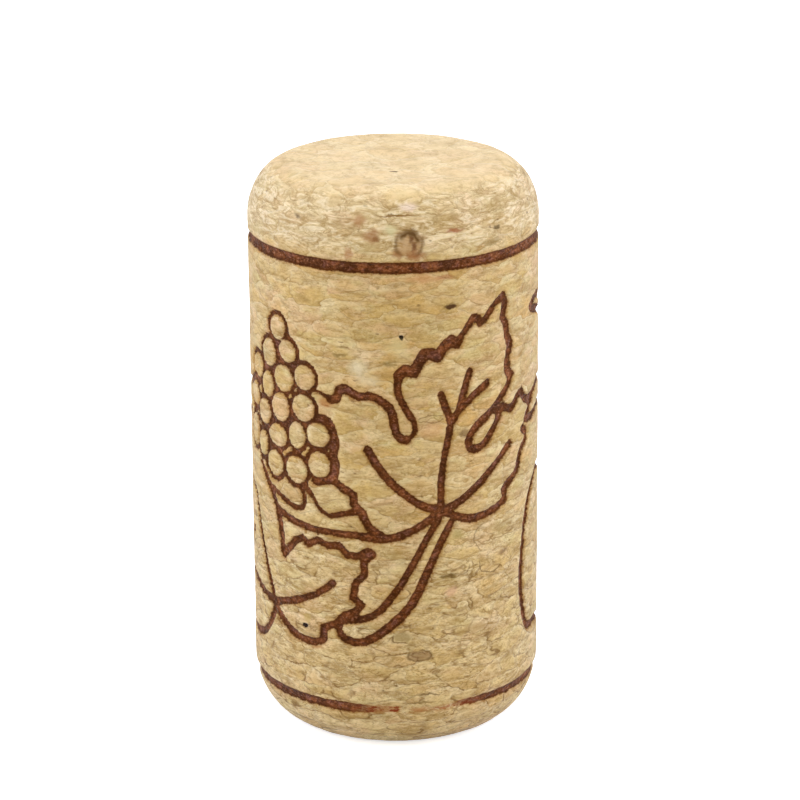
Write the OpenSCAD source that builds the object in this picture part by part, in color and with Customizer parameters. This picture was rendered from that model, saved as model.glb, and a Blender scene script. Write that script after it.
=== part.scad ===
// Wine cork with a burnt-in grape and vine leaf drawing, standing on its base.
// One turned body of pressed cork granules. Millimetres, +Z up, the drawing faces -Y.

/* [Body] */
// Diameter of the straight wall
body_d = 22; // [20:0.5:30]
// Length of the cork
body_h = 44; // [38:1:60]
// How far the top rounding comes in from the wall
top_round_w = 3.2; // [1.5:0.1:4]
// How far the top rounding reaches down the wall
top_round_h = 4.1; // [2:0.1:5]
// How far the base rounding comes in from the wall
base_round_w = 3.8; // [1.5:0.1:4.5]
// How far the base rounding reaches up the wall
base_round_h = 5; // [2:0.1:6]

/* [Burnt rings] */
// Width of the two burnt rings
ring_w = 0.9; // [0.5:0.1:1.6]
// Middle of the top ring below the top face
top_ring_drop = 5.4; // [4.8:0.1:7]
// Middle of the base ring above the base
base_ring_rise = 3.8; // [3:0.1:5]
// Worn-away stretch of the base ring, degrees
base_ring_gap = 20; // [4:1:60]
// How deep the burnt lines sink into the cork
burn_depth = 0.2; // [0.1:0.05:0.4]

/* [Drawing] */
// Line width of the leaves, veins and stems
leaf_line = 0.7; // [0.4:0.05:0.9]
// Line width between the grapes
grape_line = 0.45; // [0.3:0.05:0.6]
// Size of every grape against the paper pattern
grape_size = 1; // [0.85:0.05:1.1]

/* [Hidden] */
body_r = body_d / 2;
// where on the base rounding the ring sits, and how far the rounding leans there
ring_t = asin(max(base_round_h - base_ring_rise, 0) / base_round_h);
base_lean = atan2(sin(ring_t) / base_round_h, cos(ring_t) / base_round_w);
top_ring_z = body_h - top_ring_drop;
// the paper pattern: once around the cork, and ring to ring
paper_w = 69.1;
paper_z = [3.8, 38.6];
across = PI * body_d / paper_w;
up = (top_ring_z - base_ring_rise) / (paper_z[1] - paper_z[0]);
proud = 0.6;
// neighbouring strokes are pushed in from one shared direction, so no splinter is left between them
push_step = 25;
$fn = 96;

// ---- the paper pattern, laid round the wall ----
function lay(p) = [p[0] * across, base_ring_rise + (p[1] - paper_z[0]) * up];
function turn(u) = u / (PI * body_r) * 180;
function shared(a) = push_step * round(a / push_step);
function unit(v) = v / norm(v);
function side(v) = [-v[1], v[0]];

// a smooth curve through the points, k steps between each two
function bend(p, i, t) = let (
    n = len(p) - 1, a = p[max(i - 1, 0)], b = p[i], c = p[i + 1], d = p[min(i + 2, n)])
    (2 * b + (c - a) * t + (2 * a - 5 * b + 4 * c - d) * t * t + (3 * b - a - 3 * c + d) * t * t * t) / 2;
function curve(p, k) = [for (i = [0:len(p) - 2]) for (j = [0:k - 1]) bend(p, i, j / k), p[len(p) - 1]];

// left and right edge of a pen line at every point, mitred at the bends
function rail(q, w) = let (n = len(q) - 1) [for (i = [0:n]) let (
    u = unit(q[min(i + 1, n)] - q[min(i, n - 1)]),
    v = unit(q[max(i, 1)] - q[max(i - 1, 0)]),
    m = side(unit(u + v)),
    h = w / 2 / max(m * side(u), 0.75)) [q[i] + m * h, q[i] - m * h]];

// the same with a rounded nib at both ends
function pen(q, w) = let (
    n = len(q) - 1, h = w / 2,
    a = unit(q[0] - q[1]), b = unit(q[n] - q[n - 1]),
    sa = side(a) * h, sb = side(b) * h) concat(
    [[q[0] + a * h * 0.8 - sa * 0.5, q[0] + a * h * 0.8 + sa * 0.5]],
    rail(q, w),
    [[q[n] + b * h * 0.8 + sb * 0.5, q[n] + b * h * 0.8 - sb * 0.5]]);

// a point of the unrolled wall as it looks straight on from the angle m
function seen(p, m) = [body_r * sin(turn(p[0]) - m), p[1]];

// a flat figure pushed straight into the wall from the angle m, down to the burnt depth
module burn(m) {
    difference() {
        rotate(m) rotate([90, 0, 0]) translate([0, 0, body_r / 2])
            linear_extrude(height = body_r / 2 + proud)
                offset(delta = -0.02) offset(delta = 0.02) children();
        cylinder(r = body_r - burn_depth, h = body_h);
    }
}

// one pen line, burnt in from near the middle of its own stretch, or from the angle given
module line(pts, w = leaf_line, k = 2, from = undef) {
    e = pen(curve([for (p = pts) lay(p)], k), w);
    x = [for (p = pts) lay(p)[0]];
    m = is_undef(from) ? shared(turn((min(x) + max(x)) / 2)) : from;
    burn(m)
        for (i = [0:len(e) - 2])
            polygon([seen(e[i][0], m), seen(e[i][1], m), seen(e[i + 1][1], m), seen(e[i + 1][0], m)]);
}

// one grape, grown by the ink round it
module grape(g, m, grow) {
    polygon([for (a = [15:30:345]) seen(
        lay([g[0] + g[2] * grape_size * cos(a), g[1] + g[3] * grape_size * sin(a)]) + grow * [cos(a), sin(a)], m)]);
}

// ---- the drawing, on paper: millimetres across from its middle, and up from the base ----
// grapes: place, half width and half height
GRAPES = [
    [-10.1, 32.9, 0.9, 0.95], [-11.3, 30.7, 0.95, 1.05], [-9, 31.3, 0.9, 0.85], [-13.3, 29.1, 0.9, 1],
    [-7.3, 29.6, 0.95, 0.95], [-9.5, 29.1, 1.05, 1], [-11.6, 28.1, 0.8, 1], [-7.4, 27.2, 1.05, 1],
    [-9.9, 26.7, 1, 1.1], [-12.2, 25.8, 0.9, 1], [-14.1, 26.7, 0.9, 0.95], [-6.1, 25.3, 1, 0.95],
    [-8.1, 24.9, 0.8, 1], [-10.3, 24.4, 1.15, 0.85], [-14.2, 23.8, 0.8, 1.3], [-12.5, 23.2, 0.7, 1],
    [-6, 23, 0.95, 1], [-10.7, 22.1, 1.05, 1], [-8.2, 22.2, 1.05, 1.05]];

bunch_from = shared(turn(lay([-9.7, 0])[0]));

module bunch() {
    m = bunch_from;
    burn(m)
        difference() {
            for (g = GRAPES) grape(g, m, grape_line);
            for (g = GRAPES) grape(g, m, 0);
        }
}

// the heavy right edge of the bunch, its two lowest grapes and the tail it hangs by
module bunch_edge() {
    line([[-5.8, 26.7], [-5.2, 26.5], [-4.8, 25.7], [-4.6, 24.8], [-4.8, 24], [-4.6, 23.1], [-4.8, 22.2]], 0.8,
        from = bunch_from);
    line([[-6.4, 21.6], [-4.9, 21.9], [-4, 21.4], [-3.2, 21], [-3.2, 20.3], [-2.5, 19.5], [-2, 18.5], [-0.9, 17.8]]);
    line([[-7.4, 21.2], [-6.6, 20.4], [-6.1, 19.6], [-5.2, 19.1], [-4, 19.4], [-2.8, 19.7]], 0.55);
    line([[-12.9, 21.6], [-11.8, 20.4], [-10.9, 20], [-9.7, 19.6], [-8.5, 19.2], [-7.6, 19.3], [-7.4, 20.2], [-7.8, 21]], 0.5);
}

// the big leaf, upper right
module big_leaf() {
    // left lobe, hung on the bunch by a thin thread
    line([[-6.4, 28.8], [-5.7, 28.6], [-4.9, 28.3]], 0.4, from = bunch_from);
    line([[-5, 28.3], [-4.4, 28.4], [-4.2, 29.1], [-3.6, 29.2], [-2.7, 28.7], [-1.9, 28.8], [-1.1, 28.5], [-0.4, 27.9],
        [-0.1, 27], [0.1, 26], [0.5, 25.5], [1, 25.4]]);
    line([[0.8, 25.4], [1.4, 25.8], [1.5, 26.5], [1.2, 27.3]], 0.4);
    line([[1.3, 27], [0.8, 27.9], [0.3, 28.9], [0.2, 29.8], [0.5, 30.6]], 0.6);
    // toothed upper edge to the tip
    line([[0.3, 30.4], [0.8, 30.8], [1.5, 30.6], [1.8, 31.2], [2.2, 31.9], [2.7, 32], [3.3, 31.7], [3.8, 32.4],
        [4.4, 32.8], [4.9, 32.5]], 0.85, k = 1);
    line([[4.7, 32.4], [5.4, 33.3], [6.2, 34.3], [6.6, 34.2], [6.8, 33.8], [7.2, 33.9], [8, 34.8], [9.1, 35.5]], 0.6, k = 1);
    // tip and right edge, down into the notch
    line([[9.1, 35.5], [9.4, 34.9], [9.1, 33.8], [9.5, 33.2], [9.6, 32.3], [10, 31.5], [9.8, 30.9], [9.6, 30.1],
        [9.7, 29.5], [10.1, 29.1], [9.8, 28.4], [9.2, 27.8]], k = 1);
    line([[9.4, 28], [8.2, 26.9], [7, 26.2], [6.2, 25.6], [5.8, 24.8], [6, 24.2], [6.6, 24.1], [7.2, 24.3], [7.8, 24.9],
        [8.5, 25.8], [8.9, 26.6]]);
    // right lobe, out to the next bunch
    line([[8.4, 26.6], [9.2, 26.8], [10.1, 26.4], [10.8, 27], [11.6, 27.4], [12, 26.8], [12.8, 26.4], [14, 26.7],
        [15.3, 27.2], [17.3, 27], [18.9, 27.2], [20.4, 28.1], [21.4, 27.8]]);
    line([[13.7, 26.3], [12.9, 25.6], [12.4, 25], [13.6, 24.8], [15.2, 25.2], [17.4, 25.3], [18.8, 24.9]]);
    line([[11.8, 24.4], [12.4, 24], [12.4, 23.4], [11.6, 22.8], [11.2, 22], [11, 21.3], [10.1, 20.8], [9.3, 20.3],
        [9.4, 19.6], [8.7, 19.1], [7.2, 18.7], [5.9, 18.7], [4.7, 19.1], [3.7, 19.6]]);
    // veins
    line([[3.5, 19.8], [3.5, 21.7], [3.8, 24], [4.3, 26.4], [3.9, 27.7], [3.5, 28.8]], 0.6);
    line([[4.3, 26.4], [4.9, 27.2], [5.3, 28.5], [5.9, 30.3]], 0.6);
    line([[4.9, 27.2], [6.1, 28.2], [7.6, 29.1]], 0.6);
    line([[-2.1, 24.7], [-0.7, 22.5], [1.1, 20.8], [2.4, 20], [3.7, 19.7]]);
    line([[3.8, 19.7], [5.3, 20.3], [7.7, 22], [10, 23.7]]);
}

// stem from the left, and the double stem that curls under the lower leaf
module stems() {
    line([[-10.4, 18.6], [-9, 18.1], [-6.2, 17.8], [-3, 17.8], [-0.9, 17.6], [1.2, 18.2], [2.7, 19.1], [3.7, 19.6]]);
    line([[3.3, 19], [2.4, 17.6], [1.3, 15.5], [0.1, 13.6], [-1.2, 11.9], [-2.4, 11.2], [-3.9, 10.9]], 0.6);
    line([[4.3, 18.6], [3.2, 16.6], [2.2, 14.4], [1.2, 12.4], [-0.5, 10.6], [-2.4, 9.3], [-3.9, 9.4], [-4.5, 10.2],
        [-4, 11.2]]);
}

// the lower leaf, with the lobe that reaches round the side
module low_leaf() {
    line([[-12.8, 21.4], [-11.2, 19.7], [-10.4, 18.3], [-10, 16.8], [-9.8, 15.1]]);
    line([[-9.7, 15], [-8.4, 16.5], [-7.7, 16.9], [-7.1, 16.5], [-6.2, 17], [-5.3, 16.7], [-4.4, 16.9], [-3.7, 16.2],
        [-2.9, 16.2], [-2.1, 16.6], [-1.7, 16.4]], k = 1);
    line([[-1.7, 16.4], [-2.4, 15.7], [-2.4, 14.7], [-3.1, 14], [-3.3, 12.8], [-2.6, 12.3], [-3.1, 11.7], [-4, 11.3],
        [-4.6, 10.6], [-5.8, 10], [-5.8, 9.1]], k = 1);
    line([[-5.8, 9.1], [-6.6, 8.7], [-8.2, 8.8], [-9.6, 9.5], [-10.7, 10.4], [-11.4, 11.7], [-12.6, 14.3], [-14.3, 18.6]]);
    line([[-10.9, 10.9], [-8.9, 11.5], [-6.6, 12.5], [-4.9, 13.8]]);
    line([[-11.2, 10.8], [-13, 11.1], [-15.2, 11.6], [-17.6, 11.8]]);
    line([[-11, 10.5], [-11.7, 9.1], [-13, 7.8], [-14.8, 7.3], [-17.3, 7.4], [-19.3, 7.9], [-21.1, 7.9], [-22.1, 8.6],
        [-22.8, 11], [-22.8, 13.6], [-22.3, 16.6], [-21.3, 18.9], [-19.6, 20.2], [-17.6, 20.1], [-14.3, 18.5]], k = 3);
    line([[-15.2, 15.5], [-16.4, 14.4]]);
}

// the leaf tip behind the bunch, at the side
module back_leaf() {
    line([[-15.9, 31], [-16.6, 32.5], [-17.9, 33.6], [-19.5, 34], [-21.3, 33.6], [-20.1, 33.1], [-18.3, 32.6],
        [-17, 31.9], [-16, 30.9]], k = 3);
}

module drawing() {
    bunch();
    bunch_edge();
    big_leaf();
    stems();
    low_leaf();
    back_leaf();
}

// ---- the body ----
// a quarter of an oval: full against the wall and against the face
module corner(w, h) {
    intersection() {
        scale([w, h]) circle(r = 1);
        square([w, h]);
    }
}

// half profile: the core, the straight wall and the two rounded corners
module profile() {
    square([body_r - base_round_w, body_h / 2]);
    translate([0, body_h / 2]) square([body_r - top_round_w, body_h / 2]);
    translate([0, base_round_h]) square([body_r, body_h - top_round_h - base_round_h]);
    translate([body_r - top_round_w, body_h - top_round_h]) corner(top_round_w, top_round_h);
    translate([body_r - base_round_w, base_round_h]) mirror([0, 1]) corner(base_round_w, base_round_h);
}

module rings() {
    translate([0, 0, top_ring_z - ring_w / 2])
        difference() {
            cylinder(r = body_r + proud, h = ring_w);
            translate([0, 0, -1]) cylinder(r = body_r - burn_depth, h = ring_w + 2);
        }
    // the base ring leans with the rounding it is burnt into, and is worn away for a stretch in front
    difference() {
        rotate_extrude()
            translate([body_r - base_round_w * (1 - cos(ring_t)), min(base_round_h, base_ring_rise)])
                rotate(-base_lean)
                    translate([-burn_depth, -ring_w / 2])
                        square([burn_depth + proud, ring_w]);
        rotate(-88)
            linear_extrude(height = body_h / 2)
                polygon([[0, 0], [3 * body_r, 0], 3 * body_r * [cos(base_ring_gap), sin(base_ring_gap)]]);
    }
}

module cork() {
    color([0.82, 0.70, 0.49])
        difference() {
            rotate_extrude() profile();
            rings();
            drawing();
            rotate(180) drawing();
        }
}

cork();
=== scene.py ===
"""Looks for the wine cork: a fine mesh with its burnt lines sunk in, cork granules, light and camera.

Sizes and places are in mm, and MM turns them into the frame's metres. The front is towards -y.
"""
import itertools
import math
from functools import reduce

import bpy
import numpy as np
from mathutils import Euler, Matrix, Vector
from mathutils.bvhtree import BVHTree


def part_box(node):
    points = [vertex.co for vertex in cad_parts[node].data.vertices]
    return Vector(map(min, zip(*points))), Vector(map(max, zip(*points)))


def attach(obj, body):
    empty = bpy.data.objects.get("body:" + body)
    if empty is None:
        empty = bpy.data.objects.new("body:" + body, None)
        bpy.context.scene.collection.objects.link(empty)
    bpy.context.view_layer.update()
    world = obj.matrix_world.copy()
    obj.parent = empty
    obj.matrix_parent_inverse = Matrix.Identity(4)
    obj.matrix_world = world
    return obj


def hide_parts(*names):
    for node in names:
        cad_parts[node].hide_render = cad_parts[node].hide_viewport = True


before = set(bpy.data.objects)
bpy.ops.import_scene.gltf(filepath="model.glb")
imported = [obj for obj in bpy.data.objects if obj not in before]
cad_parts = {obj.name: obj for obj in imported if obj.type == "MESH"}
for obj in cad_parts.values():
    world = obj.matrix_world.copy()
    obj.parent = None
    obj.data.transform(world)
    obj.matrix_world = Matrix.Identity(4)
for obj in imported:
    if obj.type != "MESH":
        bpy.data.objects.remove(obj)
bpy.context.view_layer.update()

MM = 0.001
LO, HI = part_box("cork")
R = (HI[0] - LO[0]) / 2 / MM            # radius of the wall
H = HI[2] / MM                          # height
TOP_W, TOP_H = 3.2, 4.1                 # rounding of the top edge, as in the part's source
BASE_W, BASE_H = 3.8, 5.0               # rounding of the base edge, as in the part's source
BURN = 0.2                              # depth of a burnt line, as in the part's source


# ---------------------------------------------------------------- profile of the body
COLS = 400                              # quads once around
END_R = 0.35                            # within this radius a fan of triangles closes each end
END_STEPS = 13                          # rows from there to the rounding
BASE_STEPS, WALL_STEPS, TOP_STEPS = 26, 176, 22


def corner(w, h, steps):
    """A quarter oval from the flat end out to the wall: (inset from the wall, distance from the end)."""
    return [(w * (1 - math.sin(a)), h * (1 - math.cos(a))) for a in np.linspace(0, math.pi / 2, steps)]


def body_profile():
    """(radius, height) from near the middle of the base, up the wall, to near the middle of the top."""
    points = [(r, 0.0) for r in np.linspace(END_R, R - BASE_W, END_STEPS)[:-1]]
    points += [(R - inset, up) for inset, up in corner(BASE_W, BASE_H, BASE_STEPS)]
    points += [(R, z) for z in np.linspace(BASE_H, H - TOP_H, WALL_STEPS)[1:-1]]
    points += [(R - inset, H - down) for inset, down in reversed(corner(TOP_W, TOP_H, TOP_STEPS))]
    points += [(r, H) for r in np.linspace(R - TOP_W, END_R, END_STEPS)[1:]]
    return np.array(points)


profile = body_profile()
along = np.concatenate([[0], np.cumsum(np.linalg.norm(np.diff(profile, axis=0), axis=1))])
tangent = np.gradient(profile, axis=0)
tangent /= np.linalg.norm(tangent, axis=1)[:, None]
out_r, out_z = tangent[:, 1], -tangent[:, 0]        # the profile's outward normal


# ---------------------------------------------------------------- smooth noise on arrays
NOISE_SIZE = 32
NOISE_SEED = 3
noise_table = np.random.default_rng(NOISE_SEED).random((NOISE_SIZE,) * 3) * 2 - 1


def noise(p, scale, octaves):
    """Smooth noise from -1 to 1 at the places p, with scale cells to a mm, the same on every run."""
    total, amount, whole = 0.0, 1.0, 0.0
    for octave in range(octaves):
        q = p * scale * 2 ** octave + 17.3 * octave
        cell = np.floor(q).astype(int)
        f = q - cell
        f = f * f * (3 - 2 * f)
        value = 0.0
        for side in itertools.product((0, 1), repeat=3):
            share = 1.0
            for axis in range(3):
                share = share * (f[..., axis] if side[axis] else 1 - f[..., axis])
            place = tuple((cell[..., axis] + side[axis]) % NOISE_SIZE for axis in range(3))
            value = value + share * noise_table[place]
        total = total + value * amount
        whole += amount
        amount *= 0.5
    return total / whole


def smooth(a, b, x):
    """0 where x is at a, 1 where it is at b, and a smooth step between."""
    t = np.clip((x - a) / (b - a), 0, 1)
    return t * t * (3 - 2 * t)


# ---------------------------------------------------------------- where the solid is burnt in
# The solid's surface is felt from outside on a fine grid, so that the lines lie where the source puts them.
GRID = 0.06                             # between two places that are felt
FEEL_FROM = 0.5                         # how far outside the surface a ray starts
FEEL_REACH = 2.0                        # how far a ray looks
BURNT_SHARE = 0.45                      # sunk deeper than this share of BURN counts as burnt
BURN_FROM, BURN_TO = 2.0, H - 3.0       # nothing is burnt outside these heights
REACH = 12                              # cells: distances are measured this far from a line's edge
GRID_COLS = int(round(2 * math.pi * R / GRID))
GRID_ROWS = int(round(along[-1] / GRID)) + 1


def solid_surface():
    """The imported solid's faces, as a tree that finds where a ray meets them."""
    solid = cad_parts["cork"]
    places = np.empty(len(solid.data.vertices) * 3)
    solid.data.vertices.foreach_get("co", places)
    world = solid.matrix_world
    points = [world @ Vector(v) for v in places.reshape(-1, 3)]
    return BVHTree.FromPolygons(points, [tuple(p.vertices) for p in solid.data.polygons])


def burnt_cells():
    """True where the solid is sunk: a row for each step along the profile, a column for each step round."""
    surface = solid_surface()
    s = np.arange(GRID_ROWS) * along[-1] / (GRID_ROWS - 1)
    r, z, normal_r, normal_z = (np.interp(s, along, v) for v in (profile[:, 0], profile[:, 1], out_r, out_z))
    burnt = np.zeros((GRID_ROWS, GRID_COLS), bool)
    for row in range(GRID_ROWS):
        if not BURN_FROM < z[row] < BURN_TO:
            continue
        for col in range(GRID_COLS):
            a = 2 * math.pi * col / GRID_COLS
            x, y = math.sin(a), -math.cos(a)
            normal = Vector((normal_r[row] * x, normal_r[row] * y, normal_z[row]))
            start = Vector((r[row] * x, r[row] * y, z[row])) + normal * FEEL_FROM
            place, _, _, far = surface.ray_cast(start * MM, -normal, FEEL_REACH * MM)
            burnt[row, col] = place is not None and far / MM - FEEL_FROM > BURN * BURNT_SHARE
    return burnt


def distance(cells):
    """Distance to the nearest True cell, or just over REACH, with the two sides joined round the cork."""
    best = np.full(cells.shape, REACH + 1.0)
    for dy in range(-REACH, REACH + 1):
        shifted = np.zeros_like(cells)
        if dy >= 0:
            shifted[dy:] = cells[:cells.shape[0] - dy]
        else:
            shifted[:dy] = cells[-dy:]
        for dx in range(-REACH, REACH + 1):
            d = math.hypot(dx, dy)
            if d <= REACH:
                near = np.roll(shifted, dx, axis=1)
                best[near & (best > d)] = d
    return best * GRID


def edge_distance(cells):
    """Distance from the edge of a burnt line, below 0 inside it; a small blur takes the grid's steps out."""
    field = distance(cells) - distance(~cells)
    for axis in (0, 1):
        field = 0.25 * np.roll(field, 1, axis) + 0.5 * field + 0.25 * np.roll(field, -1, axis)
    return field


def sample(field, s, turn):
    """The field's value between its cells: s along the profile, turn from 0 to 1."""
    y = np.clip(s / along[-1] * (GRID_ROWS - 1), 0, GRID_ROWS - 1.001)
    x = (turn % 1.0) * GRID_COLS
    j, i = np.floor(y).astype(int), np.floor(x).astype(int)
    fy, fx = y - j, x - i
    i1 = (i + 1) % GRID_COLS
    i = i % GRID_COLS
    return ((field[j, i] * (1 - fx) + field[j, i1] * fx) * (1 - fy)
            + (field[j + 1, i] * (1 - fx) + field[j + 1, i1] * fx) * fy)


# Where the burning pen was pressed harder or lighter:
# mm round from the front middle, mm up, how far it reaches, mm wider on each side of the line.
PRESSED = [
    (1.0, 30.8, 0.9, 0.08), (2.6, 31.85, 0.9, 0.09), (4.2, 32.7, 0.9, 0.09), (6.4, 34.1, 0.6, 0.04),
    (9.5, 34.5, 0.7, 0.05), (9.9, 31.6, 0.8, 0.10), (9.75, 29.5, 0.9, 0.06), (9.6, 23.8, 1.6, 0.03),
    (6.6, 28.4, 1.2, 0.07), (3.6, 28.0, 0.9, 0.04), (-4.0, 29.0, 0.7, 0.05), (3.7, 19.7, 0.9, 0.05),
    (-2.5, 19.7, 0.7, 0.09), (-2.2, 18.0, 0.7, 0.08), (-9.6, 27.0, 3.0, -0.05), (-8.6, 23.0, 1.5, -0.03),
    (-5.6, 19.4, 1.4, -0.05), (-6.6, 18.6, 2.0, -0.05), (-3.6, 16.8, 2.0, -0.05), (-6.5, 15.9, 1.4, -0.05),
    (-2.6, 13.2, 1.6, -0.04), (-6.2, 11.8, 1.8, -0.06), (-5.0, 8.9, 0.9, 0.04), (-10.6, 13.0, 4.0, -0.03),
    (1.9, 28.5, 1.0, -0.03), (-1.2, 24.6, 1.0, 0.03), (2.5, 15.0, 1.5, 0.04), (1.3, 12.2, 1.5, 0.05),
    (0.0, 10.8, 1.3, 0.05), (-1.8, 9.6, 1.2, 0.03),
]


def pressed(field, turn, z):
    """The distance field with the pen's pressure in it."""
    around = 2 * math.pi * R
    for place, up, reach, wider in PRESSED:
        away = (turn * around - place + around / 2) % around - around / 2
        field = field - wider * np.exp(-(away ** 2 + (z - up) ** 2) / reach ** 2)
    return field


# ---------------------------------------------------------------- the meshed body
SETTLE = 0.02                           # a granule's swell is around this far below the solid's surface
SWELL, RIPPLE, HOLLOW = 0.035, 0.02, 0.07
LINE_FROM, LINE_FULL = 0.07, -0.11      # burn distance where a groove begins, and where it is at full depth
RAGGED = 0.04                           # how far a groove's edge strays
FLOOR_ROUGH = 0.2                       # how uneven a groove's floor is, as a share of its depth
MIDDLE = 0.3                            # mm over which the relief grows from nothing at each end's fan
STANDS_TO, STANDS_SHARE = 0.02, 0.3     # the end that it stands on has this share of the relief
FAR_FROM_INK = 0.7                      # burn distance in the middle of both ends


def relief_of(p, burn, s, z):
    """How far each place moves out, which is below 0: small swells and hollows, and the burnt lines."""
    groove = smooth(LINE_FROM, LINE_FULL, burn + RAGGED * noise(p, 3.0, 2))
    swell = SWELL * noise(p, 0.45, 2) + RIPPLE * noise(p + 40, 1.3, 3)
    hollow = smooth(0.45, 0.8, noise(p + 90, 1.1, 2)) * HOLLOW
    uneven = FLOOR_ROUGH * noise(p + 20, 4.0, 2)
    depth = BURN * groove * (1 + uneven) + hollow
    out = np.minimum(swell - SETTLE, 0.0) - depth
    out *= smooth(0.0, MIDDLE, np.minimum(s, along[-1] - s))
    return np.where(z < STANDS_TO, out * STANDS_SHARE, out)


def body_faces(rows):
    """Quads between the rows, and a fan at each end around the two last points."""
    faces = []
    for j in range(rows - 1):
        for i in range(COLS):
            a, b = j * COLS + i, j * COLS + (i + 1) % COLS
            faces.append((a, b, b + COLS, a + COLS))
    base_middle, top_middle = rows * COLS, rows * COLS + 1
    last = (rows - 1) * COLS
    for i in range(COLS):
        k = (i + 1) % COLS
        faces.append((base_middle, k, i))
        faces.append((top_middle, last + i, last + k))
    return faces


def body_mesh():
    """The whole body, with the distance from the burnt lines kept on its points."""
    turn, s = np.meshgrid(np.arange(COLS) / COLS, along)
    a = 2 * math.pi * turn
    r, z = np.broadcast_to(profile[:, :1], turn.shape), np.broadcast_to(profile[:, 1:], turn.shape)
    p = np.stack([r * np.sin(a), -r * np.cos(a), z], -1)
    normal = np.stack([out_r[:, None] * np.sin(a), -out_r[:, None] * np.cos(a),
                       np.broadcast_to(out_z[:, None], turn.shape)], -1)
    burn = pressed(sample(edge_distance(burnt_cells()), s, turn), turn, z)
    p = p + normal * relief_of(p, burn, s, z)[..., None]
    points = np.vstack([p.reshape(-1, 3), [[0, 0, 0.0]], [[0, 0, H - SETTLE]]]) * MM

    mesh = bpy.data.meshes.new("cork_body")
    mesh.from_pydata([tuple(v) for v in points], [], body_faces(len(profile)))
    mesh.update()
    mesh.polygons.foreach_set("use_smooth", [True] * len(mesh.polygons))
    kept = mesh.attributes.new("burn", "FLOAT", "POINT")
    kept.data.foreach_set("value", np.append(burn, [FAR_FROM_INK] * 2).astype(np.float32))
    return mesh


mesh = body_mesh()
body = bpy.data.objects.new("cork_body", mesh)
bpy.context.collection.objects.link(body)
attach(body, "root")
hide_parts("cork")


# ---------------------------------------------------------------- material helpers
mat = bpy.data.materials.new("cork")
mat.use_nodes = True
nt = mat.node_tree
nt.nodes.clear()
mesh.materials.append(mat)


def srgb(r, g, b):
    """A colour as it is seen on screen, 0 to 255, as a shader's linear one."""
    def linear(c):
        c /= 255.0
        return c / 12.92 if c <= 0.04045 else ((c + 0.055) / 1.055) ** 2.4
    return (linear(r), linear(g), linear(b), 1.0)


def node(kind, **settings):
    n = nt.nodes.new(kind)
    for name, value in settings.items():
        setattr(n, name, value)
    return n


def put(socket, value):
    """A socket takes another node's output, or a constant."""
    if isinstance(value, bpy.types.NodeSocket):
        nt.links.new(value, socket)
    elif value is not None:
        socket.default_value = value


def math_(op, a, b=None, clamp=False):
    n = node("ShaderNodeMath", operation=op, use_clamp=clamp)
    put(n.inputs[0], a)
    put(n.inputs[1], b)
    return n.outputs[0]


def mul(*values):
    return reduce(lambda a, b: math_("MULTIPLY", a, b), values)


def add(*values):
    return reduce(lambda a, b: math_("ADD", a, b), values)


def inv(a):
    """1 less a, and never below 0."""
    return math_("SUBTRACT", 1.0, a, clamp=True)


def vec(op, a, b=None, scale=None):
    n = node("ShaderNodeVectorMath", operation=op)
    put(n.inputs[0], a)
    put(n.inputs[1], b)
    if scale is not None:
        put(n.inputs["Scale"], scale)
    return n.outputs["Value" if op in ("DOT_PRODUCT", "LENGTH") else "Vector"]


def parts(p):
    """x, y and z of a place."""
    n = node("ShaderNodeSeparateXYZ")
    put(n.inputs[0], p)
    return n.outputs[0], n.outputs[1], n.outputs[2]


def channels(colour):
    """Red, green and blue; of a cell's colour these are three chance numbers of its own."""
    n = node("ShaderNodeSeparateColor")
    put(n.inputs[0], colour)
    return n.outputs[0], n.outputs[1], n.outputs[2]


def ramp(fac, lo, hi, a=0.0, b=1.0):
    """A smooth step from a, where fac is lo, to b, where it is hi."""
    n = node("ShaderNodeMapRange", interpolation_type="SMOOTHSTEP")
    for socket, value in zip(n.inputs, (fac, lo, hi, a, b)):
        put(socket, value)
    return n.outputs[0]


def mix(fac, a, b, blend="MIX"):
    """Colour a with as much of colour b over it as fac says."""
    n = node("ShaderNodeMix", data_type="RGBA", blend_type=blend, clamp_factor=True)
    put(n.inputs[0], fac)
    put(n.inputs[6], a)
    put(n.inputs[7], b)
    return n.outputs[2]


def tints(fac, stops):
    """A colour for each value from 0 to 1, from (value, colour) stops."""
    n = node("ShaderNodeValToRGB")
    elements = n.color_ramp.elements
    while len(elements) < len(stops):
        elements.new(0.5)
    for element, (value, colour) in zip(elements, stops):
        element.position = value
        element.color = colour
    put(n.inputs[0], fac)
    return n.outputs[0]


def moved(p, x, y, z):
    """The place p, moved, so that two noises don't follow each other."""
    return vec("ADD", p, (x, y, z))


def noise_(p, scale, detail=2.0, rough=0.5, colour=False, distortion=0.0):
    n = node("ShaderNodeTexNoise")
    put(n.inputs["Vector"], p)
    put(n.inputs["Scale"], scale)
    put(n.inputs["Detail"], detail)
    put(n.inputs["Roughness"], rough)
    put(n.inputs["Distortion"], distortion)
    return n.outputs["Color" if colour else "Fac"]


def shaken(p, scale, amount, detail=2.0):
    """The place p, pushed about by up to half of amount."""
    push = vec("SUBTRACT", noise_(p, scale, detail, colour=True), (0.5, 0.5, 0.5))
    return vec("ADD", p, vec("SCALE", push, scale=amount))


def voronoi(p, scale, feature="F1"):
    """Cells around scattered points."""
    n = node("ShaderNodeTexVoronoi", feature=feature)
    put(n.inputs["Vector"], p)
    put(n.inputs["Scale"], scale)
    return n.outputs


def lower_part(cells, p, half):
    """1 at the lower edge of a place's own cell, 0 at the upper one."""
    above = parts(vec("SUBTRACT", p, cells["Position"]))[2]
    return inv(ramp(above, -half, half))


def line_of(field, width):
    """A line where the field passes through 0."""
    return inv(ramp(math_("ABSOLUTE", field), 0.0, width))


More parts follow.
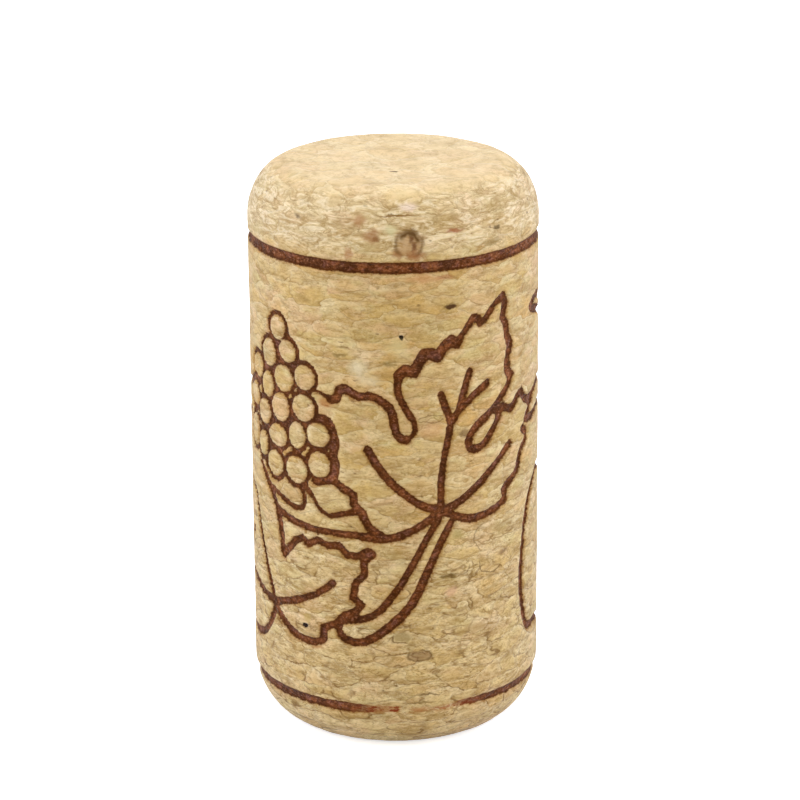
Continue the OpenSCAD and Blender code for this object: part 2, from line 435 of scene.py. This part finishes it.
def at(around, z, r=R):
    """A place on the cork: mm round from the front middle, mm up, and its distance from the axis."""
    a = around / R
    return (r * math.sin(a), -r * math.cos(a), z)


# ---------------------------------------------------------------- where on the cork
pos = vec("SCALE", node("ShaderNodeTexCoord").outputs["Object"], scale=1 / MM)
px, py, pz = parts(pos)
flat = vec("MULTIPLY", pos, (1.0, 1.0, 2.1))        # what is drawn in it comes out wider than high
swirl = vec("MULTIPLY", pos, (1.0, 1.0, 3.4))
on_top = ramp(pz, H - 0.9, H - 0.1)                 # the end face is smoother, and paler: partly its own colour, partly painted light from above
rim = mul(ramp(pz, H - 5.2, H - 3.2), inv(on_top))  # the rounded edge below it has more waves, and is pale: partly its own colour, partly a painted sheen
low = ramp(pz, 26.0, 11.0)                          # the lower half has the clearest granules
# how dark creases and the granules' painted shade are
bold = add(0.84, mul(low, 0.30), mul(rim, 0.06), mul(on_top, -0.40))


# ---------------------------------------------------------------- pressed granules, large and small
GRANULE, SMALL_GRANULE = 0.38, 0.85                 # cells to a mm
PALE, STRAW, TAN = srgb(218, 194, 144), srgb(207, 174, 109), srgb(196, 160, 101)
OLIVE, PINK, OCHRE = srgb(191, 162, 102), srgb(214, 175, 131), srgb(204, 161, 92)
# SHADOW is the colour of the painted shade at the granules' lower edges
SHADOW = srgb(146, 112, 58)

rolled = shaken(shaken(flat, 0.42, 2.8, 2.0), 1.6, 0.62, 2.0)
big = voronoi(rolled, GRANULE)
big_edge = voronoi(rolled, GRANULE, "DISTANCE_TO_EDGE")["Distance"]
big_chance = channels(big["Color"])
big_under = lower_part(big, rolled, 1.0)

small_p = shaken(moved(flat, 13.0, 4.0, 9.0), 1.2, 1.1, 2.0)
small = voronoi(small_p, SMALL_GRANULE)
small_edge = voronoi(small_p, SMALL_GRANULE, "DISTANCE_TO_EDGE")["Distance"]
small_chance = channels(small["Color"])
small_under = lower_part(small, small_p, 0.5)

base = tints(big_chance[0], [(0.0, TAN), (0.18, PALE), (0.36, STRAW), (0.55, OLIVE), (0.72, PINK),
                             (0.86, OCHRE), (1.0, STRAW)])
base = mix(0.12, base, srgb(205, 175, 112))
pale_patch = ramp(noise_(moved(flat, 15.0, 51.0, 33.0), 0.36, 2.0), 0.56, 0.72, 0.0, 0.5)
base = mix(pale_patch, base, srgb(226, 206, 160))
# where the small granules show
crumbled = ramp(noise_(moved(pos, 3.0, 8.0, 1.0), 0.5, 2.0), 0.42, 0.6)
small_tint = tints(small_chance[0], [(0.0, OLIVE), (0.3, STRAW), (0.5, PALE), (0.75, TAN), (1.0, PINK)])
base = mix(mul(crumbled, 0.5), base, small_tint)
base = mix(ramp(noise_(pos, 0.14, 2.0), 0.38, 0.66, 0.0, 0.30), base, OCHRE)
base = mix(ramp(noise_(moved(flat, 31.0, 7.0, 3.0), 0.3, 3.0), 0.53, 0.66, 0.0, 0.62), base, PINK)
green_patch = ramp(noise_(moved(flat, 1.0, 17.0, 43.0), 0.35, 3.0), 0.54, 0.68, 0.0, 0.6)
base = mix(green_patch, base, srgb(200, 181, 122))
base = mix(mul(low, 0.26), base, srgb(224, 200, 148))
# the rounded edge made paler: partly its own colour, partly a painted sheen
base = mix(mul(rim, 0.42), base, srgb(233, 212, 176))
rim_patch = ramp(noise_(moved(flat, 61.0, 9.0, 24.0), 0.42, 2.0), 0.50, 0.36)
base = mix(mul(rim, rim_patch, 0.45), base, srgb(176, 148, 92))
# the end face made paler: partly its own colour, partly painted light from above
base = mix(mul(on_top, 0.62), base, srgb(234, 208, 162))
# painted shade: each granule darker towards its lower edge; painted highlight: large ones pale along their
# upper edge
base = mix(mul(big_under, big_chance[1], 0.30, bold), base, SHADOW)
base = mix(mul(small_under, small_chance[1], crumbled, 0.20, bold), base, SHADOW)
base = mix(mul(inv(big_under), inv(ramp(big_edge, 0.0, 0.30)), 0.34), base, srgb(236, 218, 176))

# the layers inside a granule run their own way
way = vec("SUBTRACT", vec("MULTIPLY", big["Color"], (1.0, 1.0, 2.4)), (0.5, 0.5, 1.0))
way = vec("NORMALIZE", way)
stretched = vec("ADD", rolled, vec("SCALE", way, scale=mul(vec("DOT_PRODUCT", rolled, way), 2.4)))
layer = noise_(stretched, 0.9, 4.0, 0.62, distortion=0.5)
base = mix(mul(ramp(layer, 0.56, 0.30), 0.40, bold), base, srgb(150, 116, 60))
base = mix(mul(ramp(layer, 0.58, 0.78), 0.32), base, srgb(234, 212, 166))


# ---------------------------------------------------------------- creases: thin warm lines that come and go
come = noise_(moved(flat, 11.0, 5.0, 71.0), 0.8, 3.0)

# seams between granules, which are dark joints, with painted shade making them darkest along the granules'
# lower edges
big_seam = mul(inv(ramp(big_edge, 0.012, 0.085)), ramp(come, 0.42, 0.58),
               add(0.25, mul(big_under, 0.75)), add(0.72, mul(low, 0.28)))
small_seam = mul(inv(ramp(small_edge, 0.01, 0.09)), ramp(come, 0.52, 0.42), crumbled,
                 add(0.15, mul(small_under, 0.85)))

# long waves, wider and paler on the rounded edge
wave_field = noise_(shaken(swirl, 0.5, 1.8, 2.0), 0.5, 4.0, 0.55, distortion=0.6)
wave_phase = math_("PINGPONG", mul(wave_field, add(12.0, mul(rim, -4.0))), 1.0)
wave_on = ramp(add(noise_(moved(flat, 5.0, 91.0, 2.0), 0.45, 3.0), mul(rim, 0.16)), 0.45, 0.58)
wave_width = add(0.08, mul(rim, 0.16), mul(ramp(come, 0.35, 0.65), 0.18))
wave = mul(line_of(wave_phase, wave_width), wave_on)

seams = math_("MAXIMUM", big_seam, mul(small_seam, 0.85))
crease = mul(math_("MAXIMUM", seams, mul(wave, 0.85)), add(1.0, mul(rim, -0.24)))

# short curls, and soft dark streaks
curl_field = noise_(shaken(moved(flat, 70.0, 3.0, 20.0), 1.0, 1.3, 2.0), 1.1, 3.0, 0.6)
curl = mul(line_of(math_("SUBTRACT", curl_field, 0.5), 0.034), ramp(come, 0.54, 0.44))
base = mix(mul(curl, 0.55, bold), base, srgb(146, 114, 58))
streak = noise_(shaken(moved(swirl, 9.0, 40.0, 4.0), 0.6, 1.2, 1.0), 0.62, 3.0, 0.6)
base = mix(mul(ramp(streak, 0.40, 0.24), add(0.58, mul(rim, -0.30)), bold), base, srgb(128, 94, 42))
shade = mul(ramp(streak, 0.54, 0.36), add(0.48, mul(rim, -0.16)))
base = mix(mul(shade, bold), base, srgb(152, 120, 66))

wave_crest = mul(ramp(wave_phase, 0.40, 1.0), wave_on, add(0.10, mul(rim, 0.36), mul(low, 0.08)))
base = mix(wave_crest, base, srgb(240, 224, 190))
# the creases and seams, with the seams' painted shade along the granules' lower edges
base = mix(mul(crease, 0.72, bold), base, mix(low, srgb(134, 100, 44), srgb(112, 78, 34)))


# ---------------------------------------------------------------- flecks and fine grain
# small dark flecks and short pits, flattened like the granules
fleck_p = shaken(moved(flat, 21.0, 2.0, 5.0), 2.6, 0.6, 2.0)
fleck = inv(ramp(voronoi(fleck_p, 0.7)["Distance"], 0.06, 0.18))
fleck = mul(fleck, ramp(noise_(moved(pos, 2.0, 33.0, 61.0), 0.8, 1.0), 0.53, 0.61))
base = mix(mul(fleck, 0.72, bold), base, srgb(96, 64, 30))

# sandy grain, weaker on the rounded edge and the top
sand = noise_(vec("MULTIPLY", pos, (1.0, 1.0, 1.3)), 5.2, 3.0, 0.7)
fine = noise_(moved(flat, 8.0, 8.0, 8.0), 2.2, 3.0, 0.6)
grain = inv(add(mul(rim, 0.60), mul(on_top, 0.20)))
base = mix(mul(ramp(sand, 0.50, 0.30), 0.30, bold, grain), base, srgb(136, 102, 54))
base = mix(mul(ramp(sand, 0.54, 0.74), 0.18, grain), base, srgb(238, 220, 178))
base = mix(mul(ramp(fine, 0.48, 0.32), 0.32, bold, grain), base, srgb(144, 110, 56))


# ---------------------------------------------------------------- single marks that this cork has
PINHOLES = 2                                        # the first marks, which are pits as well
marks_p = shaken(pos, 1.5, 0.62, 3.0)
# place, size (across, deep, high), colour, strength, softness
MARKS = [
    # the wall: two pinholes, whose near-black colour is painted shade for holes that are only a small bump,
    # then dark, olive, pale and pink granules
    (at(0.55, 33.35), (0.18, 0.5, 0.22), srgb(30, 14, 2), 1.0, 0.3),
    (at(-7.4, 9.9), (0.27, 0.5, 0.2), srgb(30, 14, 2), 1.0, 0.3),
    (at(4.25, 35.5), (0.46, 0.6, 0.25), srgb(70, 42, 18), 0.95, 0.45),
    (at(4.83, 17.7), (0.45, 0.6, 0.36), srgb(142, 126, 66), 0.5, 0.7),
    (at(0.4, 9.8), (0.66, 0.6, 0.46), srgb(150, 126, 80), 0.7, 0.35),
    (at(6.4, 9.9), (1.1, 0.8, 0.40), srgb(170, 140, 92), 0.6, 0.35),
    (at(1.8, 8.25), (0.95, 0.6, 0.42), srgb(136, 102, 66), 0.65, 0.45),
    (at(9.1, 15.4), (0.7, 0.6, 0.22), srgb(118, 84, 48), 0.7, 0.5),
    (at(-2.7, 30.9), (0.7, 0.8, 0.7), srgb(226, 211, 176), 0.65, 0.8),
    (at(-1.9, 30.0), (0.9, 0.8, 0.4), srgb(222, 204, 164), 0.55, 0.8),
    (at(0.2, 32.6), (0.8, 0.8, 0.6), srgb(216, 199, 144), 0.5, 0.8),
    (at(-5.3, 28.0), (0.7, 0.6, 0.4), srgb(160, 96, 40), 0.65, 0.7),
    (at(5.4, 25.5), (0.6, 0.5, 0.3), srgb(96, 66, 34), 0.65, 0.6),
    (at(2.8, 26.2), (1.1, 0.7, 0.65), srgb(204, 148, 106), 0.40, 0.6),
    (at(-4.1, 31.8), (0.6, 0.5, 0.15), srgb(122, 98, 50), 0.7, 0.6),
    (at(-3.9, 32.5), (0.5, 0.5, 0.13), srgb(122, 98, 50), 0.6, 0.6),
    (at(-0.3, 31.3), (0.6, 0.5, 0.2), srgb(130, 106, 56), 0.6, 0.6),
    (at(4.0, 14.45), (0.75, 0.5, 0.15), srgb(104, 78, 34), 0.85, 0.5),
    (at(4.3, 13.2), (0.5, 0.5, 0.4), srgb(206, 160, 124), 0.6, 0.6),
    (at(-6.5, 8.4), (1.2, 0.6, 0.22), srgb(156, 98, 42), 0.55, 0.7),
    # top rounding: a brown knot, two blotches, dashes and flecks; and a small pit in the top face, whose dark
    # colour is painted shade with no hollow under it
    (at(1.25, 40.4), (1.10, 1.4, 1.05), srgb(166, 124, 76), 0.70, 0.6),
    (at(1.3, 40.75), (0.20, 1.2, 0.34), srgb(92, 54, 26), 0.8, 0.7),
    (at(1.52, 40.2), (0.20, 1.2, 0.40), srgb(98, 56, 28), 0.8, 0.7),
    (at(0.85, 40.35), (0.24, 1.2, 0.42), srgb(196, 164, 122), 0.6, 0.7),
    (at(1.6, 39.55), (0.74, 1.0, 0.42), srgb(146, 88, 46), 0.8, 0.9),
    (at(0.3, 39.7), (0.42, 1.0, 0.40), srgb(152, 100, 56), 0.75, 0.7),
    (at(-1.6, 41.0), (0.62, 1.2, 0.52), srgb(150, 100, 60), 0.7, 0.6),
    (at(-1.3, 40.75), (0.34, 1.2, 0.24), srgb(122, 76, 40), 0.6, 0.6),
    (at(-2.6, 42.0, R - 0.5), (0.60, 0.9, 0.36), srgb(166, 118, 76), 0.65, 0.6),
    (at(-3.3, 39.6), (0.28, 0.8, 0.50), srgb(168, 112, 76), 0.55, 0.6),
    (at(4.7, 41.1), (0.72, 0.9, 0.20), srgb(150, 86, 50), 0.8, 0.6),
    (at(7.8, 39.85), (0.95, 1.0, 0.26), srgb(140, 114, 64), 0.6, 0.6),
    (at(8.4, 40.8), (0.26, 0.9, 0.18), srgb(82, 62, 34), 0.8, 0.5),
    (at(-7.6, 41.8), (0.35, 0.9, 0.20), srgb(96, 72, 40), 0.8, 0.5),
    (at(1.2, 42.9, R - 1.1), (0.70, 0.6, 0.30), srgb(228, 204, 186), 0.65, 0.8),
    (at(-0.2, 41.4, R - 0.3), (0.45, 0.6, 0.40), srgb(206, 200, 152), 0.6, 0.7),
    (at(0.3, 42.38, R - 0.68), (1.55, 0.7, 0.07), srgb(120, 84, 36), 0.8, 0.5),
    (at(0.26, 44.0, 3.6), (0.36, 0.26, 0.3), srgb(98, 68, 30), 0.9, 0.4),
    # under the top ring
    (at(3.8, 37.7), (0.75, 0.8, 0.20), srgb(154, 96, 58), 0.6, 0.6),
    (at(2.2, 37.75), (1.3, 0.8, 0.30), srgb(176, 118, 70), 0.45, 0.8),
    # beside the left pinhole
    (at(-7.2, 10.6), (0.3, 0.5, 0.4), srgb(176, 148, 84), 0.6, 0.5),
    # what is left of the base ring right of its worn stretch
    (at(3.6, 3.85), (1.1, 0.8, 0.11), srgb(156, 88, 46), 0.7, 0.6),
    (at(1.7, 4.4), (1.3, 0.8, 0.10), srgb(122, 96, 50), 0.75, 0.5),
    (at(2.6, 5.1), (1.1, 0.8, 0.09), srgb(104, 80, 46), 0.7, 0.5),
]
spots = []
for place, size, colour, strength, soft in MARKS:
    away = vec("LENGTH", vec("DIVIDE", vec("SUBTRACT", marks_p, place), size))
    spot = inv(ramp(away, 1.0 - soft, 1.0 + soft * 0.6))
    spots.append(spot)
    base = mix(mul(spot, strength), base, colour)

# single granules whose dark outline stands out:
# place, size (across, deep, high), the side that is dark (across, up), strength, width
ARCS = [
    (at(0.4, 9.8), (0.72, 0.8, 0.50), (-0.7, -0.7), 0.8, 0.13),
    (at(1.8, 8.25), (0.95, 0.8, 0.44), (-0.8, -0.6), 0.7, 0.24),
    (at(1.8, 8.25), (0.90, 0.8, 0.42), (1.0, 0.4), 0.75, 0.26),
    (at(1.7, 8.3), (0.50, 0.8, 0.20), (0.2, 1.0), 0.7, 0.25),
    (at(7.4, 17.0), (1.15, 1.2, 1.15), (-1.0, 0.2), 0.55, 0.09),
    (at(7.9, 14.9), (1.2, 1.2, 0.9), (-0.6, -0.9), 0.75, 0.10),
    (at(4.8, 14.9), (1.0, 1.0, 0.62), (0.5, -0.9), 0.6, 0.13),
    (at(6.4, 9.9), (1.1, 1.0, 0.42), (0.3, -1.0), 0.45, 0.13),
    (at(2.8, 26.95), (0.95, 0.8, 0.28), (0.0, 1.0), 0.6, 0.2),
    (at(2.8, 26.95), (0.95, 0.8, 0.28), (0.0, -1.0), 0.6, 0.2),
    (at(-1.9, 10.2), (1.0, 0.9, 0.5), (-0.9, 0.3), 0.4, 0.13),
    (at(1.15, 40.45), (0.66, 1.4, 0.70), (0.3, 0.95), 1.0, 0.42),
    (at(1.2, 40.4), (1.02, 1.4, 0.98), (-0.9, 0.4), 0.60, 0.26),
    (at(1.2, 40.4), (0.93, 1.4, 0.94), (0.9, 0.3), 0.60, 0.26),
]
for place, size, side, strength, width in ARCS:
    q = vec("DIVIDE", vec("SUBTRACT", marks_p, place), size)
    dark_side = ramp(vec("DOT_PRODUCT", vec("NORMALIZE", q), (side[0], 0.0, side[1])), -0.1, 0.6)
    arc = mul(line_of(math_("SUBTRACT", vec("LENGTH", q), 1.0), width), dark_side)
    base = mix(mul(arc, strength), base, srgb(98, 70, 36))

# the whole cork, a shade darker and warmer
base = mix(1.0, base, (0.985, 0.988, 0.975, 1.0), "MULTIPLY")


# ---------------------------------------------------------------- burnt lines: dark edges, patchy within
BASE_RING_Z = 3.8                                   # where the base ring runs in its worn stretch
WORN_X = 1.5                                        # the middle of the worn stretch

# the edge frays finely and sways slowly
fray = mul(math_("SUBTRACT", noise_(pos, 4.5, 3.0, 0.6), 0.5), 0.24)
sway = mul(math_("SUBTRACT", noise_(moved(pos, 9.0, 2.0, 40.0), 0.8, 2.0), 0.5), 0.22)
# the base ring is rougher than the other lines, thinner to the right of its worn stretch,
# and thin, red and patchy on both sides of it
front = ramp(py, -4.0, -7.0)
base_ring = mul(ramp(pz, 6.2, 5.4), front)
near_gap = mul(base_ring, ramp(math_("ABSOLUTE", math_("SUBTRACT", px, WORN_X)), 5.4, 1.9))
thin = add(mul(base_ring, ramp(px, 2.6, 4.0), 0.09), mul(near_gap, 0.22))
tear = noise_(moved(flat, 2.0, 19.0, 6.0), 1.5, 3.0, 0.6)
torn = mul(base_ring, math_("SUBTRACT", tear, 0.5), 0.40)
burn_d = node("ShaderNodeAttribute", attribute_name="burn").outputs["Fac"]
edge = add(burn_d, fray, sway, thin, torn, 0.004)   # distance from the line's edge, below 0 inside it
ink_on = inv(ramp(edge, -0.07, 0.05))
core = inv(ramp(edge, -0.30, -0.10))                # well inside the line

# brown and dark patches, violet flecks, a dark edge, light and dark grains
patch = ramp(noise_(shaken(pos, 1.5, 0.8), 1.7, 3.0), 0.42, 0.60)
char = mix(patch, srgb(92, 45, 10), srgb(134, 77, 42))
deep = ramp(noise_(shaken(moved(pos, 50.0, 3.0, 12.0), 0.8, 1.0), 0.55, 3.0), 0.50, 0.62)
char = mix(mul(deep, 0.70), char, srgb(58, 25, 4))
violet = ramp(noise_(shaken(moved(pos, 30.0, 12.0, 8.0), 1.2, 0.8), 1.5, 3.0), 0.52, 0.64)
char = mix(mul(core, violet, 0.45), char, srgb(136, 88, 78))
char = mix(mul(inv(core), 0.70), char, srgb(78, 38, 3))
char = mix(mul(core, ramp(sand, 0.52, 0.66), 0.60), char, srgb(164, 110, 82))
char = mix(mul(ramp(fine, 0.52, 0.36), 0.60), char, srgb(54, 22, 2))
char = mix(mul(ramp(sand, 0.50, 0.38), 0.45), char, srgb(56, 23, 2))
char = mix(mul(crease, 0.5), char, srgb(46, 22, 9))
char = mix(mul(near_gap, 0.75), char, srgb(138, 52, 16))

# the cork is scorched beside a line, and a line is thinner where it is rubbed or the cork is hard
scorched = mul(inv(ramp(edge, 0.0, 0.20)), 0.40)
base = mix(scorched, base, srgb(160, 104, 44))
rubbed = ramp(noise_(moved(flat, 4.0, 4.0, 4.0), 1.3, 3.0, 0.6), 0.44, 0.56)
worn = inv(mul(near_gap, rubbed, 0.75))
grazed = inv(mul(ramp(layer, 0.60, 0.78), 0.30))
base = mix(mul(ink_on, worn, grazed, 0.98), base, char)
# what is left of the base ring where it is worn away
above = math_("ABSOLUTE", math_("SUBTRACT", pz, BASE_RING_Z))
shreds = ramp(noise_(moved(flat, 9.0, 1.0, 6.0), 1.1, 3.0, 0.6), 0.42, 0.60)
trace = mul(near_gap, inv(ramp(above, 0.05, 0.42)), shreds, inv(ink_on))
base = mix(mul(trace, 0.6), base, srgb(150, 84, 38))


# ---------------------------------------------------------------- fine relief and the shader
relief = add(mul(layer, 0.5), mul(sand, 0.5), mul(ramp(big_edge, 0.0, 0.10), 0.5),
             mul(add(*spots[:PINHOLES]), -2.0))
bump = node("ShaderNodeBump")
put(bump.inputs["Strength"], 0.6)
put(bump.inputs["Distance"], 0.15 * MM)
put(bump.inputs["Height"], relief)

bsdf = node("ShaderNodeBsdfPrincipled")
put(bsdf.inputs["Base Color"], base)
put(bsdf.inputs["Roughness"], add(0.70, mul(ink_on, 0.18)))
put(bsdf.inputs["Specular IOR Level"], 0.04)
put(bsdf.inputs["Sheen Weight"], 0.14)
put(bsdf.inputs["Sheen Roughness"], 0.40)
put(bsdf.inputs["Normal"], bump.outputs[0])
put(node("ShaderNodeOutputMaterial").inputs[0], bsdf.outputs[0])


# ---------------------------------------------------------------- floor and background
WHITE = (1, 1, 1, 1)
FLOOR_HALF = 1.2                                    # metres
FLOOR_GAP = 0.00002                                 # metres below the base, so that no two faces meet


def seen_directly(tree):
    """1 for what the camera sees itself, or in a reflection or through glass."""
    path = tree.nodes.new("ShaderNodeLightPath")
    total = path.outputs["Is Camera Ray"]
    for name in ("Is Glossy Ray", "Is Transmission Ray"):
        either = tree.nodes.new("ShaderNodeMath")
        either.operation = "MAXIMUM"
        tree.links.new(total, either.inputs[0])
        tree.links.new(path.outputs[name], either.inputs[1])
        total = either.outputs[0]
    return total


def white_card(name, colour, glow):
    """A white card: it is lit and shaded as card is, and what is seen directly is raised to white by glow."""
    card = bpy.data.materials.new(name)
    card.use_nodes = True
    tree = card.node_tree
    tree.nodes.clear()
    level = tree.nodes.new("ShaderNodeMath")
    level.operation = "MULTIPLY"
    level.inputs[1].default_value = glow
    tree.links.new(seen_directly(tree), level.inputs[0])
    light = tree.nodes.new("ShaderNodeEmission")
    light.inputs[0].default_value = WHITE
    tree.links.new(level.outputs[0], light.inputs[1])
    matte = tree.nodes.new("ShaderNodeBsdfDiffuse")
    matte.inputs[0].default_value = colour
    both = tree.nodes.new("ShaderNodeAddShader")
    tree.links.new(matte.outputs[0], both.inputs[0])
    tree.links.new(light.outputs[0], both.inputs[1])
    tree.links.new(both.outputs[0], tree.nodes.new("ShaderNodeOutputMaterial").inputs[0])
    return card


def white_world(colour, strength):
    """A world that is seen as white, and lights the object with the given colour and strength."""
    world = bpy.data.worlds.new("world")
    world.use_nodes = True
    tree = world.node_tree
    tree.nodes.clear()
    either = tree.nodes.new("ShaderNodeMixShader")
    tree.links.new(seen_directly(tree), either.inputs[0])
    for socket, (tint, level) in zip(either.inputs[1:], ((colour, strength), (WHITE, 1.0))):
        back = tree.nodes.new("ShaderNodeBackground")
        back.inputs[0].default_value = tint
        back.inputs[1].default_value = level
        tree.links.new(back.outputs[0], socket)
    tree.links.new(either.outputs[0], tree.nodes.new("ShaderNodeOutputWorld").inputs[0])
    return world


floor_mesh = bpy.data.meshes.new("floor")
floor_mesh.from_pydata([(x * FLOOR_HALF, y * FLOOR_HALF, 0) for x, y in ((-1, -1), (1, -1), (1, 1), (-1, 1))],
                       [], [(0, 1, 2, 3)])
floor_mesh.materials.append(white_card("floor_white", (0.86, 0.86, 0.86, 1), 0.66))
floor = bpy.data.objects.new("floor", floor_mesh)
floor.location = (0, 0, -FLOOR_GAP)
bpy.context.collection.objects.link(floor)

scene = bpy.context.scene
scene.world = white_world((0.98, 0.99, 1.03, 1), 0.41)


# ---------------------------------------------------------------- lamps
LIT = Vector((0, 0, 0.022))                         # metres: the middle of the cork


def softbox(name, place, size, power, colour):
    """A rectangular lamp that looks at the cork; place and size are in metres."""
    data = bpy.data.lights.new(name, "AREA")
    data.shape = "RECTANGLE"
    data.size, data.size_y = size
    data.energy = power
    data.color = colour
    lamp = bpy.data.objects.new(name, data)
    lamp.location = place
    lamp.rotation_euler = (LIT - Vector(place)).to_track_quat("-Z", "Y").to_euler()
    bpy.context.collection.objects.link(lamp)


SIDE_TINT = (0.95, 1.05, 1.36)
softbox("left_light", (-0.30, -0.02, 0.10), (0.16, 0.24), 0.60, SIDE_TINT)
softbox("right_light", (0.30, -0.02, 0.10), (0.16, 0.24), 0.60, SIDE_TINT)
softbox("front_light", (0.0, -0.36, 0.26), (0.22, 0.18), 0.53, (1.0, 0.90, 0.60))
softbox("top_light", (0.0, 0.05, 0.34), (0.24, 0.24), 0.66, (0.97, 1.02, 1.20))


# ---------------------------------------------------------------- camera
PX = 800.0                                          # width of the image
FOCAL_PX, SHIFT_PX = 3559.5, 5.5                    # in pixels of that width
SENSOR = 36.0                                       # any width does, since the lens follows it
ELEV, ROLL = 0.3165, 0.0072                         # radians: how far it looks down, and how far it leans
DIST, AIM_Z = 24.81 * R * MM, 2.2706 * R * MM       # metres: how far away it is, and the height it looks at

cam_data = bpy.data.cameras.new("camera")
cam_data.sensor_width = SENSOR
cam_data.lens = SENSOR * FOCAL_PX / PX
cam_data.shift_x = SHIFT_PX / PX
cam_data.clip_start = 0.01
cam = bpy.data.objects.new("camera", cam_data)
bpy.context.collection.objects.link(cam)
cam.location = (0, -math.cos(ELEV) * DIST, AIM_Z + math.sin(ELEV) * DIST)
look = Euler((math.pi / 2 - ELEV, 0, 0)).to_matrix() @ Matrix.Rotation(-ROLL, 3, "Z")
cam.rotation_euler = look.to_euler()
scene.camera = cam
scene.view_settings.view_transform = "Standard"
